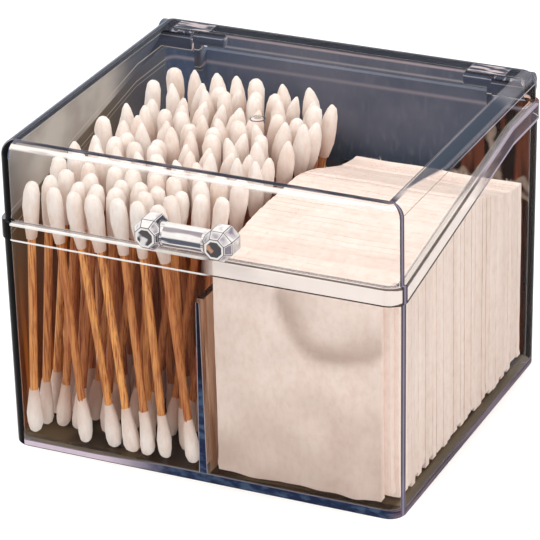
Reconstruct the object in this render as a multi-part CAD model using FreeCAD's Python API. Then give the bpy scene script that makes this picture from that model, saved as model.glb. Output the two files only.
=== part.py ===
"""Clear moulded box with a hinged lid, filled with cotton swabs and cotton pads.

Millimetres. X is to the right, -Y is the front, Z is up. The origin is the
centre of the base's underside. The base and the lid are clear mouldings; the
lid turns on two pegs that stand on ears at the base's back corners.
"""
import FreeCAD, Part
import math
import os
import random

Vec = FreeCAD.Vector

# Box, outside
WIDTH = 116.0            # across the rim
DEPTH = 103.6            # front to back over the rim
HEIGHT = 89.4            # closed, to the lid's top
CORNER_R = 5.0           # plan radius of the rim's corners
WALL = 1.8
FLOOR = 2.2
BASE_TAPER = 0.5         # how much narrower each side is at the underside
FOOT_EDGE_R = 0.8        # round under the base

# Rim: a slightly prouder band along the base's upper edge, low at the front
RIM_FRONT = 67.0         # height of the rim's top at the front
RIM_BAND = 4.9           # height of the band
RIM_PROUD = 0.3
RIM_RISE_START = 4.8     # from the front face to where the rim starts to rise
RIM_RISE_LENGTH = 75.3   # length of the sloping stretch, front to back

# Lid
LID_INSET = 0.9          # lid's outside, in from the rim's outside
LID_TOP = 2.0
LID_EDGE_R = 4.0         # round along the lid's top edges
GATE_D = 4.4             # round mark that the moulding gate leaves on the lid
GATE_DEPTH = 0.3
GATE_NUB_D = 1.6
GATE_Y = -10.4

# Hinge
HINGE_INSET = 4.2        # axis, in from the lid's back face
HINGE_DROP = 4.4         # axis, down from the lid's top
NOSE_MARGIN = 0.1        # how far the lid's lower back corner stands outside its back face's distance
SWING_CLEAR = 0.3        # between the swinging lid and the base
PEG_R = 2.0
PEG_RUN_CLEAR = 0.05     # radial, peg in its socket
PEG_INNER = 7.3          # length of the peg's stub on the ear's inner side
PEG_OUTER = 7.6          # length of the peg on the ear's outer side
PEG_CHAMFER = 0.4
EAR_X = 44.6             # middle of each ear
EAR_T = 1.6
EAR_HEAD_R = 2.1
EAR_GUSSET = 16.0        # how far below the axis the ear runs into the back wall
EAR_FRONT_DROP = 8.0     # how far below the axis the ear's front edge is straight
EAR_SIDE_CLEAR = 0.4
OPEN_ANGLE = 105.0       # how far the lid opens, in degrees
KNUCKLE_R = 4.1
SOCKET_END = 0.3         # peg's end to socket's end

# Divider between the two compartments
DIVIDER_X = 0.3
DIVIDER_TOP = 53.5
DIVIDER_T_TOP = 1.8
DIVIDER_T_FOOT = 2.8

# Handle: a round bar between two eight-sided knobs
KNOB_X = 9.8
KNOB_Z = 73.6
KNOB_R = 4.5             # across corners
KNOB_TABLE_R = 3.0
KNOB_HEEL_R = 3.7
KNOB_LENGTH = 8.3
KNOB_HEEL = 1.1
KNOB_CROWN = 2.2
KNOB_SIDES = 8
BAR_R = 3.2
BAR_OFF = 4.1            # bar's middle, out from the lid's front face

# Cotton swabs
SWAB_LENGTH = 75.0
STICK_R = 1.2
LOWER_TIP_R = 2.3
LOWER_TIP_LENGTH = 13.5
UPPER_TIP_R = 2.75       # the upper tips are wound thicker and longer
UPPER_TIP_LENGTH = 16.5
TIP_NECK_R = 1.45
TIP_SIDES = 12
TIP_SEAT = 5.2           # from the tip's end to the end of the stick inside it
LANE_PITCH = 5.75        # least spacing of the lanes that the swabs stand in
SWABS_IN_LANE = (8, 7)   # turn and turn about
SWAB_GAP = 0.25          # least gap between swabs and from the walls
LANES_PER_NODE = 2
LANE_LEANS = (-13.0, -1.0, 8.0, -7.0, 3.0)
LEAN_AT_FOOT = 0.8       # share of a lane's lean that its feet stand back from the divider
LEAN_AT_WALL = 0.25      # share of a lean to the left that its first swab takes up
BACK_LEAN = 9.0          # how much further right the last lane leans
SCATTER = 0.42           # stray of each swab, as a share of its lane's spacing
# Front lanes, each swab's foot and top as shares of the compartment's width
FRONT_LANES = (((0.0, 0.05), (0.32, 0.19), (0.5, 0.29), (0.605, 0.43), (0.71, 0.58), (0.815, 0.685), (0.98, 0.79)),
               ((0.01, 0.1), (0.12, 0.27), (0.22, 0.38), (0.39, 0.49), (0.64, 0.68), (0.88, 0.84)))
ROUND_LANES = 5          # lanes at the front whose upper tips are all round
POINTED_SHARE = 0.7      # share of the other upper tips that are drawn to a point

# Cotton pads, on edge
PADS_PER_NODE = 5
PAD_T = 2.4
PAD_GAP = 0.1            # least gap between pads
PAD_HEIGHT = 65.0
PAD_CORNER_R = 1.5
PAD_SIDE_CLEAR = 1.3     # right edge of the pads to the base's inner face
PAD_DIVIDER_CLEAR = 2.4  # left edge of the pads to the divider's foot
PAD_FRONT_CLEAR = 0.8
PAD_BACK_CLEAR = 3.5
PAD_SLUMP_FROM = 0.62    # share of the stack from which the pads stand lower
PAD_SLUMP = 12.5         # how much lower the last pad stands
PAD_FRONT_SHARE = 0.2    # share of the stack over which the front pads rise to full height
PAD_FRONT_DROP = 3.0     # how much lower the first pad stands
PAD_WANDER = 0.6         # how far edges stray from each other
REST_GAP = 0.02          # between the contents and the floor

# Worked out from the sizes above
LID_W = WIDTH - 2 * LID_INSET
LID_D = DEPTH - 2 * LID_INSET
LID_R = CORNER_R - LID_INSET
LID_FRONT = -LID_D / 2
BODY_W = WIDTH - 2 * RIM_PROUD
BODY_D = DEPTH - 2 * RIM_PROUD
BODY_R = CORNER_R - RIM_PROUD
INNER_W = BODY_W - 2 * WALL
INNER_D = BODY_D - 2 * WALL
HINGE_Y = LID_D / 2 - HINGE_INSET
HINGE_Z = HEIGHT - HINGE_DROP
NOSE_R = HINGE_INSET + NOSE_MARGIN
RIM_BACK = HINGE_Z - NOSE_R - SWING_CLEAR
FAR = WIDTH + DEPTH + HEIGHT


def rounded_wire(width, depth, radius, z):
    """Closed outline of a rectangle with round corners, centred on Z."""
    x = width / 2
    y = depth / 2
    k = radius * (1 - math.sqrt(0.5))
    corners = [(x, -y, 1, -1), (x, y, 1, 1), (-x, y, -1, 1), (-x, -y, -1, -1)]
    arcs = []
    for cx, cy, sx, sy in corners:
        on_x = Vec(cx, cy - sy * radius, z)
        on_y = Vec(cx - sx * radius, cy, z)
        middle = Vec(cx - sx * k, cy - sy * k, z)
        first, last = (on_y, on_x) if sx * sy < 0 else (on_x, on_y)
        arcs.append((first, middle, last))
    edges = []
    for i, (first, middle, last) in enumerate(arcs):
        following = arcs[(i + 1) % len(arcs)][0]
        edges.append(Part.Arc(first, middle, last).toShape())
        edges.append(Part.LineSegment(last, following).toShape())
    return Part.Wire(edges)


def rounded_prism(width, depth, radius, z0, z1):
    face = Part.Face(rounded_wire(width, depth, radius, z0))
    return face.extrude(Vec(0, 0, z1 - z0))


def tapered_prism(width, depth, radius, taper, z0, z1):
    """Round-cornered block that is narrower by taper on each side at z0."""
    low = rounded_wire(width - 2 * taper, depth - 2 * taper, radius, z0)
    high = rounded_wire(width, depth, radius, z1)
    return Part.makeLoft([low, high], True, True)


def side_slab(points, x0, x1):
    """Plate with a (y, z) outline between two X values."""
    wire = Part.makePolygon([Vec(x0, y, z) for y, z in points + points[:1]])
    return Part.Face(wire).extrude(Vec(x1 - x0, 0, 0))


def rod_x(radius, x0, x1):
    """Cylinder on the hinge axis between two X values."""
    low = min(x0, x1)
    return Part.makeCylinder(radius, abs(x1 - x0), Vec(low, HINGE_Y, HINGE_Z), Vec(1, 0, 0))


def rim_line(drop):
    """(y, z) points of the rim's top from front to back, lowered by drop."""
    rise_y = -DEPTH / 2 + RIM_RISE_START
    return [(-DEPTH, RIM_FRONT - drop), (rise_y, RIM_FRONT - drop),
            (rise_y + RIM_RISE_LENGTH, RIM_BACK - drop), (DEPTH, RIM_BACK - drop)]


def below_rim(drop):
    """Everything under the rim's top, lowered by drop."""
    return side_slab(rim_line(drop) + [(DEPTH, -FAR), (-DEPTH, -FAR)], -FAR, FAR)


def ear(side):
    """Upright plate inside the base's back wall that carries a peg."""
    x0 = side * EAR_X - EAR_T / 2
    wall_y = INNER_D / 2 + WALL / 2
    narrow = HINGE_Y + ear_back_reach(NOSE_R)
    foot_z = HINGE_Z - NOSE_R - SWING_CLEAR
    outline = [(HINGE_Y - EAR_HEAD_R, HINGE_Z), (HINGE_Y - EAR_HEAD_R, HINGE_Z - EAR_FRONT_DROP),
               (wall_y, HINGE_Z - EAR_GUSSET), (wall_y, foot_z), (narrow, foot_z),
               (HINGE_Y + EAR_HEAD_R, HINGE_Z)]
    plate = side_slab(outline, x0, x0 + EAR_T)
    head = rod_x(EAR_HEAD_R, x0, x0 + EAR_T)
    outer = peg(side * (EAR_X + EAR_T / 2), side * PEG_OUTER)
    inner = peg(side * (EAR_X - EAR_T / 2), -side * PEG_INNER)
    return plate.fuse([head, outer, inner])


def ear_back_reach(depth):
    """How far behind the axis the open lid's top leaves room, at this depth below the axis."""
    angle = math.radians(OPEN_ANGLE)
    underside = HINGE_DROP - LID_TOP - SWING_CLEAR
    return (underside + depth * math.cos(angle)) / math.sin(angle)


def peg(x, length):
    rod = rod_x(PEG_R, x, x + length)
    tip = [edge for edge in rod.Edges if abs(edge.CenterOfMass.x - (x + length)) < 1e-6]
    return rod.makeChamfer(PEG_CHAMFER, tip)


def base_tray():
    top = RIM_BACK + RIM_BAND
    body = tapered_prism(BODY_W, BODY_D, BODY_R, BASE_TAPER, 0, top)
    foot = [edge for edge in body.Edges if abs(edge.CenterOfMass.z) < 1e-6]
    body = body.makeFillet(FOOT_EDGE_R, foot)
    band = rounded_prism(WIDTH, DEPTH, CORNER_R, RIM_FRONT - 2 * RIM_BAND, top)
    band = band.common(below_rim(0)).cut(below_rim(RIM_BAND))
    shell = body.common(below_rim(0)).fuse(band)
    hollow = tapered_prism(INNER_W, INNER_D, BODY_R - WALL, BASE_TAPER, FLOOR, FLOOR + top)
    shell = shell.cut(hollow)
    return shell.fuse([divider(), ear(-1), ear(1)]).removeSplitter()


def divider():
    """Tapered wall from front to back, let into the floor and both walls."""
    foot = FLOOR / 2
    length = INNER_D + WALL
    half_top = DIVIDER_T_TOP / 2
    half_foot = DIVIDER_T_FOOT / 2
    outline = [(DIVIDER_X - half_foot, foot), (DIVIDER_X + half_foot, foot),
               (DIVIDER_X + half_top, DIVIDER_TOP), (DIVIDER_X - half_top, DIVIDER_TOP)]
    wire = Part.makePolygon([Vec(x, -length / 2, z) for x, z in outline + outline[:1]])
    return Part.Face(wire).extrude(Vec(0, length, 0))


def lid_block():
    """Outside of the lid: round-edged on top, cut to the rim line and the nose."""
    block = rounded_prism(LID_W, LID_D, LID_R, RIM_FRONT - WALL, HEIGHT)
    top_edges = [edge for edge in block.Edges if abs(edge.CenterOfMass.z - HEIGHT) < 1e-6]
    block = block.makeFillet(LID_EDGE_R, top_edges)
    start, nose_low = (HINGE_Y, RIM_BACK), (HINGE_Y, HINGE_Z - NOSE_R)
    nose_back = (HINGE_Y + NOSE_R, HINGE_Z)
    line = rim_line(0)[:3] + [start, nose_low]
    corner = NOSE_R * math.sqrt(0.5)
    middle = (HINGE_Y + corner, HINGE_Z - corner)
    rest = [nose_back, (nose_back[0], FAR), (-DEPTH, FAR), line[0]]
    at = lambda point: Vec(-WIDTH, point[0], point[1])
    edges = [Part.LineSegment(at(a), at(b)).toShape() for a, b in zip(line, line[1:])]
    edges.append(Part.Arc(at(nose_low), at(middle), at(nose_back)).toShape())
    edges += [Part.LineSegment(at(a), at(b)).toShape() for a, b in zip(rest, rest[1:])]
    profile = Part.Face(Part.Wire(edges)).extrude(Vec(2 * WIDTH, 0, 0))
    return block.common(profile)


def lid():
    underside = HEIGHT - LID_TOP
    hollow = rounded_prism(LID_W - 2 * WALL, LID_D - 2 * WALL, LID_R - WALL, 0, underside)
    hollow_edges = [edge for edge in hollow.Edges if abs(edge.CenterOfMass.z - underside) < 1e-6]
    hollow = hollow.makeFillet(LID_EDGE_R - WALL, hollow_edges)
    shell = lid_block().cut(hollow)
    return finish_lid(shell)


def finish_lid(shell):
    inner_face = LID_W / 2 - WALL
    first = EAR_X + EAR_T / 2 + SWING_CLEAR
    knuckles = [rod_x(KNUCKLE_R, side * first, side * (inner_face + WALL / 2)) for side in (-1, 1)]
    body = shell.fuse(knuckles)
    socket_end = EAR_X + EAR_T / 2 + PEG_OUTER + SOCKET_END
    sockets = [rod_x(PEG_R + PEG_RUN_CLEAR, side * (first - SWING_CLEAR), side * socket_end)
               for side in (-1, 1)]
    slots = [ear_slot(side) for side in (-1, 1)]
    return body.cut(sockets + slots + [gate_mark()]).removeSplitter()


def ear_slot(side):
    """Opening in the lid's back wall that lets it swing past an ear."""
    width = EAR_T + EAR_SIDE_CLEAR + SWING_CLEAR
    x0 = side * EAR_X - EAR_T / 2 - (EAR_SIDE_CLEAR if side > 0 else SWING_CLEAR)
    height = HEIGHT - LID_TOP
    return Part.makeBox(width, DEPTH, height, Vec(x0, HINGE_Y, 0))


def gate_mark():
    """Shallow ring-shaped recess on the lid's top."""
    low = Vec(0, GATE_Y, HEIGHT - GATE_DEPTH)
    recess = Part.makeCylinder(GATE_D / 2, 2 * GATE_DEPTH, low)
    return recess.cut(Part.makeCylinder(GATE_NUB_D / 2, 2 * GATE_DEPTH, low))


def octagon(x, y, radius):
    turn = math.pi / KNOB_SIDES
    points = []
    for i in range(KNOB_SIDES + 1):
        angle = turn + 2 * turn * i
        points.append(Vec(x + radius * math.cos(angle), y, KNOB_Z + radius * math.sin(angle)))
    return Part.makePolygon(points)


def knob(x):
    front = LID_FRONT - KNOB_LENGTH
    stations = [(LID_FRONT, KNOB_HEEL_R), (LID_FRONT - KNOB_HEEL, KNOB_R),
                (front + KNOB_CROWN, KNOB_R), (front, KNOB_TABLE_R)]
    return Part.makeLoft([octagon(x, y, radius) for y, radius in stations], True, True)


def handle():
    bar = Part.makeCylinder(BAR_R, 2 * KNOB_X, Vec(-KNOB_X, LID_FRONT - BAR_OFF, KNOB_Z), Vec(1, 0, 0))
    return bar.fuse([knob(-KNOB_X), knob(KNOB_X)]).removeSplitter()


def lathe(rings, sides):
    """Solid with flat sides from (radius, z) rings in order, closed flat at the first and the last."""
    loops = []
    for radius, z in rings:
        angles = [2 * math.pi * i / sides for i in range(sides)]
        loops.append([Vec(radius * math.cos(a), radius * math.sin(a), z) for a in angles])
    faces = [flat_face(loops[0]), flat_face(loops[-1])]
    for one, other in zip(loops, loops[1:]):
        for i in range(sides):
            j = (i + 1) % sides
            faces.append(flat_face([one[i], one[j], other[j], other[i]]))
    solid = Part.Solid(Part.Shell(faces))
    if solid.Volume < 0:
        solid.reverse()
    return solid


def flat_face(points):
    return Part.Face(Part.makePolygon(points + points[:1]))


def round_tip(radius, length):
    """Bulb of wound cotton, its end at z = 0, with the seat for the stick."""
    return cotton_tip([(0.3, 0), (0.72, 0.05), (0.94, 0.14), (1, 0.25), (0.93, 0.5)], radius, length)


def pointed_tip(radius, length):
    """Tip of wound cotton drawn to a blunt point."""
    return cotton_tip([(0.16, 0), (0.42, 0.05), (0.74, 0.2), (0.96, 0.45), (0.92, 0.66)], radius, length)


def cotton_tip(outline, radius, length):
    """Tip from an outline given in shares of its radius and of its length."""
    rings = [(share * radius, part * length) for share, part in outline]
    seat_r = STICK_R / math.cos(math.pi / TIP_SIDES)
    rings += [(TIP_NECK_R, length), (seat_r, length), (seat_r, TIP_SEAT)]
    return lathe(rings, TIP_SIDES)


def settle(places, low, high, least):
    """Keeps places in order, between two limits and at least a given distance apart."""
    settled = []
    for place in places:
        start = settled[-1] + least if settled else low
        settled.append(max(place, start))
    limit = high
    for i in reversed(range(len(settled))):
        settled[i] = min(settled[i], limit)
        limit = settled[i] - least
    return settled


def scattered(low, high, count, rng):
    """Places about evenly spaced from low to high, each strayed by chance."""
    step = (high - low) / (count - 1)
    return [low + step * (i + rng.uniform(-SCATTER, SCATTER)) for i in range(count)]


def top_limit(bottom_x):
    """Furthest right that a swab's top may lean over the divider and the pads."""
    rise = tip_span()
    start = FLOOR + LOWER_TIP_R
    past_divider = DIVIDER_X - DIVIDER_T_TOP / 2 - STICK_R - SWAB_GAP
    past_pads = pad_left() - UPPER_TIP_R - 2 * SWAB_GAP - PAD_WANDER
    over_divider = (past_divider - bottom_x) * rise / (DIVIDER_TOP - start)
    over_pads = (past_pads - bottom_x) * rise / (PAD_HEIGHT + PAD_WANDER)
    return bottom_x + min(over_divider, over_pads)


def lane_ends(lane, rng):
    """X places of one lane's lower and upper tip centres."""
    foot_left = -LID_W / 2 + WALL + SWAB_GAP + LOWER_TIP_R
    left = -LID_W / 2 + WALL + SWAB_GAP + UPPER_TIP_R
    right = DIVIDER_X - DIVIDER_T_FOOT / 2 - SWAB_GAP - LOWER_TIP_R
    room = right - left
    if lane < len(FRONT_LANES):
        bottoms = [foot_left + (right - foot_left) * share for share, _ in FRONT_LANES[lane]]
        tops = [left + room * share for _, share in FRONT_LANES[lane]]
        return (settle(bottoms, foot_left, right, tip_spacing(LOWER_TIP_R)),
                settle(tops, left, right, tip_spacing(UPPER_TIP_R)))
    count = SWABS_IN_LANE[lane % len(SWABS_IN_LANE)]
    least = tip_spacing(UPPER_TIP_R)
    lean = LANE_LEANS[lane % len(LANE_LEANS)] + BACK_LEAN * lane / (lane_count() - 1)
    lean = max(lean, least * (count - 1) - room)
    foot_right = right - LEAN_AT_FOOT * max(lean, 0)
    top_right = top_limit(foot_right) if lean > 0 else right + lean
    top_left = left + max(lean, 0) - LEAN_AT_WALL * min(lean, 0)
    top_left = min(top_left, top_right - least * (count - 1))
    bottoms = scattered(foot_left, foot_right, count, rng)
    tops = scattered(top_left, top_right, count, rng)
    return (settle(bottoms, foot_left, foot_right, tip_spacing(LOWER_TIP_R)),
            settle(tops, left, top_right, least))


def swab_lane(lane, rng):
    """Bottom and top centres of one lane's swabs, in one upright slice of the compartment."""
    bottoms, tops = lane_ends(lane, rng)
    y = lane_front() + lane_pitch() * lane
    foot_stray = (lane_pitch() - tip_spacing(LOWER_TIP_R)) / 2
    top_stray = (lane_pitch() - tip_spacing(UPPER_TIP_R)) / 2
    places = []
    for x0, x1 in zip(bottoms, tops):
        y0 = y + rng.uniform(-foot_stray, foot_stray)
        y1 = y + rng.uniform(-top_stray, top_stray)
        flat = math.hypot(x1 - x0, y1 - y0)
        bottom = Vec(x0, y0, FLOOR + REST_GAP + LOWER_TIP_R)
        top = Vec(x1, y1, bottom.z + math.sqrt(tip_span() ** 2 - flat ** 2))
        places.append((bottom, top))
    return places


def tip_spacing(radius):
    return 2 * radius + SWAB_GAP


def tip_span():
    """From the middle of a swab's lower tip's round end to that of its upper tip's."""
    return SWAB_LENGTH - LOWER_TIP_R - UPPER_TIP_R


def lane_front():
    return LID_FRONT + WALL + SWAB_GAP + UPPER_TIP_R + SWAB_GAP


def lane_back():
    return HINGE_Y - EAR_HEAD_R - SWAB_GAP - UPPER_TIP_R - SWAB_GAP


def lane_count():
    return int((lane_back() - lane_front()) / LANE_PITCH) + 1


def lane_pitch():
    return (lane_back() - lane_front()) / (lane_count() - 1)


def along(shape, start, direction):
    """Copy of a shape turned from +Z to a direction and moved to a start."""
    copy = shape.copy()
    copy.Placement = FreeCAD.Placement(start, FreeCAD.Rotation(Vec(0, 0, 1), direction))
    return copy


def swabs():
    """Sticks and tips, as one group of solids for every two lanes."""
    rng = random.Random(7)
    stick = Part.makeCylinder(STICK_R, SWAB_LENGTH - 2 * TIP_SEAT)
    lower = round_tip(LOWER_TIP_R, LOWER_TIP_LENGTH)
    upper = round_tip(UPPER_TIP_R, UPPER_TIP_LENGTH)
    pointed = pointed_tip(UPPER_TIP_R, UPPER_TIP_LENGTH)
    nodes = {}
    for lane in range(lane_count()):
        group = lane // LANES_PER_NODE + 1
        sticks = nodes.setdefault("swab_sticks_%d" % group, [])
        tips = nodes.setdefault("swab_tips_%d" % group, [])
        for bottom, top in swab_lane(lane, rng):
            up = (top - bottom).normalize()
            foot = bottom - up * LOWER_TIP_R
            head = foot + up * SWAB_LENGTH
            drawn_out = lane >= ROUND_LANES and rng.random() < POINTED_SHARE
            sticks.append(along(stick, foot + up * TIP_SEAT, up))
            tips.append(along(lower, foot, up))
            tips.append(along(pointed if drawn_out else upper, head, -up))
    return nodes


def pad_right():
    return INNER_W / 2 - BASE_TAPER - PAD_SIDE_CLEAR


def pad_left():
    return DIVIDER_X + DIVIDER_T_FOOT / 2 + PAD_DIVIDER_CLEAR


def pad(x0, x1, y, z1):
    """One pad on edge, its corners rounded."""
    z0 = FLOOR + REST_GAP
    blank = Part.makeBox(x1 - x0, PAD_T, z1 - z0, Vec(x0, y, z0))
    corners = [edge for edge in blank.Edges if abs(edge.BoundBox.YLength - PAD_T) < 1e-6]
    return blank.makeFillet(PAD_CORNER_R, corners)


def pads():
    """The stack of pads, in groups of solids from front to back."""
    rng = random.Random(11)
    front = LID_FRONT + WALL + PAD_FRONT_CLEAR
    back = INNER_D / 2 - BASE_TAPER - PAD_BACK_CLEAR
    count = int((back - front) / (PAD_T + PAD_GAP))
    pitch = (back - front) / count
    nodes = {}
    for i in range(count):
        share = i / (count - 1)
        slump = PAD_SLUMP * max(0.0, share - PAD_SLUMP_FROM) / (1 - PAD_SLUMP_FROM)
        slump += PAD_FRONT_DROP * max(0.0, 1 - share / PAD_FRONT_SHARE)
        top = FLOOR + PAD_HEIGHT - slump + rng.uniform(-PAD_WANDER, PAD_WANDER)
        x0 = pad_left() + rng.uniform(-PAD_WANDER, PAD_WANDER)
        x1 = pad_right() + rng.uniform(-PAD_WANDER, PAD_WANDER)
        group = nodes.setdefault("cotton_pads_%d" % (i // PADS_PER_NODE + 1), [])
        group.append(pad(x0, x1, front + pitch * i, top))
    return nodes


def main():
    os.makedirs("parts", exist_ok=True)
    nodes = {"base_tray": [base_tray()], "lid": [lid()], "handle": [handle()]}
    nodes.update(swabs())
    nodes.update(pads())
    for name, solids in nodes.items():
        shape = solids[0] if len(solids) == 1 else Part.makeCompound(solids)
        shape.exportStep("parts/%s.step" % name)
        print(name, len(solids), "solids", round(shape.Volume / 1000, 2), "cm3", shape.isValid())


main()
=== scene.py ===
import math
import random
from math import radians

import bmesh
import bpy
from mathutils import Matrix, Vector, noise


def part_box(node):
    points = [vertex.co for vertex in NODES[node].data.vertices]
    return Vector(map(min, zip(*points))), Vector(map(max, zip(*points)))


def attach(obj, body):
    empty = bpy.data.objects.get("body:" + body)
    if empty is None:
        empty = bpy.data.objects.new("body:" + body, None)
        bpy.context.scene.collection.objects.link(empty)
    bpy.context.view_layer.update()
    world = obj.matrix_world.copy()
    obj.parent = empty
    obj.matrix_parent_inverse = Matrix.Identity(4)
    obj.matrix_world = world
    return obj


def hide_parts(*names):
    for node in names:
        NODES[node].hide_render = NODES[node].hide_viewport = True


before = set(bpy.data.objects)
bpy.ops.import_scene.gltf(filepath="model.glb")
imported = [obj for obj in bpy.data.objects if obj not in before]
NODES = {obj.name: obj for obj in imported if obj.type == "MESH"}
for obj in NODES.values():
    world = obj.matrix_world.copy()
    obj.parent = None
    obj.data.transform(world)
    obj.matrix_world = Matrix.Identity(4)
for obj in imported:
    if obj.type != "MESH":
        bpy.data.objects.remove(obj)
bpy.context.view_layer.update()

MM = 0.001
noise.seed_set(5)        # so that the unevenness is the same each run

# Sizes that the looks share with the model
TRAY_LOW, TRAY_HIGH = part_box("base_tray")
LID_LOW, LID_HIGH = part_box("lid")
HANDLE_LOW, HANDLE_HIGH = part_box("handle")
FLOOR_TOP = 2.2 * MM
TRAY_CORNER = 5.0 * MM   # rounds of the upright corners
LID_CORNER = 4.1 * MM
LID_EDGE = 4.0 * MM      # round along the lid's top edges
CEILING = LID_HIGH.z - 2.3 * MM
RIM_BAND = 4.9 * MM      # height of the thicker band under the rim
RIM_RISE_START = TRAY_LOW.y + 4.8 * MM
RIM_RISE_END = RIM_RISE_START + 75.3 * MM
RIM_FRONT = LID_LOW.z
RIM_BACK = 80.4 * MM
DIVIDER_X = 0.7 * MM     # middle of the divider's front end
DIVIDER_TOP = 53.5 * MM
GATE_Y = -10.4 * MM      # middle of the gate's round mark
HINGE_X = 44.6 * MM      # middle of each ear
HINGE_Y = LID_HIGH.y - 4.2 * MM
BAR_Y = LID_LOW.y - 4.1 * MM
BAR_Z = (HANDLE_LOW.z + HANDLE_HIGH.z) / 2
KNOB_START = 5.6 * MM    # where the bar ends and each knob begins

# Swabs: (radius, length) of a tip, how far it reaches past its stick, and the stick's radius
LOWER_TIP = (2.3 * MM, 13.5 * MM)
UPPER_TIP = (2.6 * MM, 16.5 * MM)
TIP_SEAT = 5.2 * MM
STICK_R = 1.12 * MM
ROUND_TIP = ((0.42, 0.02), (0.74, 0.07), (0.94, 0.2), (0.93, 0.42), (0.76, 0.74), (0.56, 0.98))
DRAWN_TIP = ((0.18, 0.01), (0.5, 0.09), (0.8, 0.24), (0.98, 0.44), (0.92, 0.7), (0.56, 0.98))

# Pads: each is a little thicker than its share, because pressed pads meet
PAD_SPREAD = 1.04
NARROWED = (3.6 * MM, 1.7 * MM, 0.6 * MM)   # what the first three lack at their right
FRONT_CREASE = ((22.5, 57.4), (24.7, 51.1), (27.4, 45.9), (32.1, 42.4), (39.6, 42.4), (47.0, 44.3),
                (50.6, 46.6))

# Marks that the handle's faces carry besides how lit they are
TABLE_MARK, SEAM_MARK, BORDER_MARK = -0.2, -0.5, 0.95

# Lines across the walls inside: lowest, highest and softness in millimetres, and tone
BACK_LINES = ((86.5, 90.0, 0.2, (24, 22, 32)), (85.3, 86.0, 0.3, (172, 160, 166)),
              (82.2, 82.7, 0.35, (150, 148, 152)), (76.4, 77.2, 0.6, (134, 128, 138)))
SIDE_LINES = ((1.6, 1.85, 0.1, (196, 188, 180)), (-3.75, -3.5, 0.1, (172, 164, 156)),
              (-5.1, -4.9, 0.1, (150, 144, 136)))

# Bands of light along the handle's bar: from and to, in degrees round it, and tone
BAR_BANDS = ((39, 64, (150, 140, 146)), (-8, 12, (74, 80, 98)), (-40, -19, (92, 88, 98)))

FLOAT = "NodeSocketFloat"
COLOUR = "NodeSocketColor"
VECTOR = "NodeSocketVector"
DOWN = (1.0, 0.0)        # a step that falls instead of rising


# ---------------------------------------------------------------- node helpers

class Field:
    """A number, place or colour that changes over a surface: what one node puts out.

    Arithmetic on it adds the nodes for that, and a comparison gives a mask of 0 and 1.
    """

    def __init__(self, add, socket):
        self.add, self.socket = add, socket

    def __add__(self, other):
        return maths("ADD", self, other)

    def __sub__(self, other):
        return maths("SUBTRACT", self, other)

    def __rsub__(self, other):
        return maths("SUBTRACT", other, self)

    def __mul__(self, other):
        return maths("MULTIPLY", self, other)

    def __gt__(self, other):
        return maths("GREATER_THAN", self, other)

    def __lt__(self, other):
        return maths("LESS_THAN", self, other)

    def __abs__(self):
        return maths("ABSOLUTE", self)


def put(node, inputs):
    """Sets a node's inputs, each from a field or to a plain value."""
    for name, value in inputs.items():
        if isinstance(value, Field):
            node.id_data.links.new(value.socket, node.inputs[name])
        else:
            node.inputs[name].default_value = value


def node_graph(tree):
    """The call that adds a node to a tree and gives its outputs as fields, by name and by number."""
    def add(kind, inputs=None, **settings):
        node = tree.nodes.new(kind)
        for name, value in settings.items():
            setattr(node, name, value)
        put(node, inputs or {})
        outputs = {}
        for number, socket in enumerate(node.outputs):
            outputs[number] = outputs[socket.name] = Field(add, socket)
        return outputs
    return add


def material(name):
    """A new material, its shader, and the call that adds nodes to it."""
    made = bpy.data.materials.new(name)
    made.use_nodes = True
    return made, made.node_tree.nodes["Principled BSDF"], node_graph(made.node_tree)


def effect(inputs, outputs):
    """Turns a function, which makes named outputs from named inputs, into a shader node group."""
    def built(build):
        group = bpy.data.node_groups.new(build.__name__, "ShaderNodeTree")
        for in_out, sockets in (("INPUT", inputs), ("OUTPUT", outputs)):
            for label, kind in sockets.items():
                group.interface.new_socket(label, in_out=in_out, socket_type=kind)
        add = node_graph(group)
        add("NodeGroupOutput", build(add("NodeGroupInput")))
        return group
    return built


def maths(operation, *values):
    add = next(value.add for value in values if isinstance(value, Field))
    return add("ShaderNodeMath", dict(enumerate(values)), operation=operation)["Value"]


def axes(position):
    """The x, y and z of a place."""
    parts = position.add("ShaderNodeSeparateXYZ", {0: position})
    return parts["X"], parts["Y"], parts["Z"]


def ramp(value, low, high, out_low=0.0, out_high=1.0):
    """Smooth step of a field from low to high."""
    inputs = {"Value": value, "From Min": low, "From Max": high, "To Min": out_low, "To Max": out_high}
    return value.add("ShaderNodeMapRange", inputs, interpolation_type="SMOOTHSTEP")["Result"]


def step(length, low, high, outs=(0.0, 1.0), datum=0.0):
    """Smooth step of a length between two places in millimetres from a datum."""
    return ramp(length, datum + low * MM, datum + high * MM, *outs)


def band(value, low, high, soft):
    """1 between low and high, fading over soft at each side."""
    return ramp(value, low - soft, low + soft) * ramp(value, high - soft, high + soft, *DOWN)


def stripe(length, low, high, soft, datum=0.0):
    """Band of a length between two places in millimetres from a datum."""
    return band(length, datum + low * MM, datum + high * MM, soft * MM)


def turned_band(turn, low, high, soft):
    """Band of an angle between two given in degrees."""
    return band(turn, radians(low), radians(high), soft)


def blend(factor, one, other):
    """Mix of two colours."""
    return factor.add("ShaderNodeMix", {0: factor, 6: one, 7: other}, data_type="RGBA")[2]


def lay(colour, solid, marks):
    """Lays marks, each a (mask, colour, strength), over a colour and over how solid it is."""
    for mask, mark, strength in marks:
        colour = blend(mask, colour, mark)
        solid = maths("MULTIPLY_ADD", strength - solid, mask, solid)
    return colour, solid


def soft_noise(position, stretch, scale, detail, roughness=0.5):
    """Smooth noise, stretched along the axes."""
    place = position.add("ShaderNodeMapping", {"Vector": position, "Scale": stretch})["Vector"]
    inputs = {"Vector": place, "Scale": scale, "Detail": detail, "Roughness": roughness}
    return position.add("ShaderNodeTexNoise", inputs)["Fac"]


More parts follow.
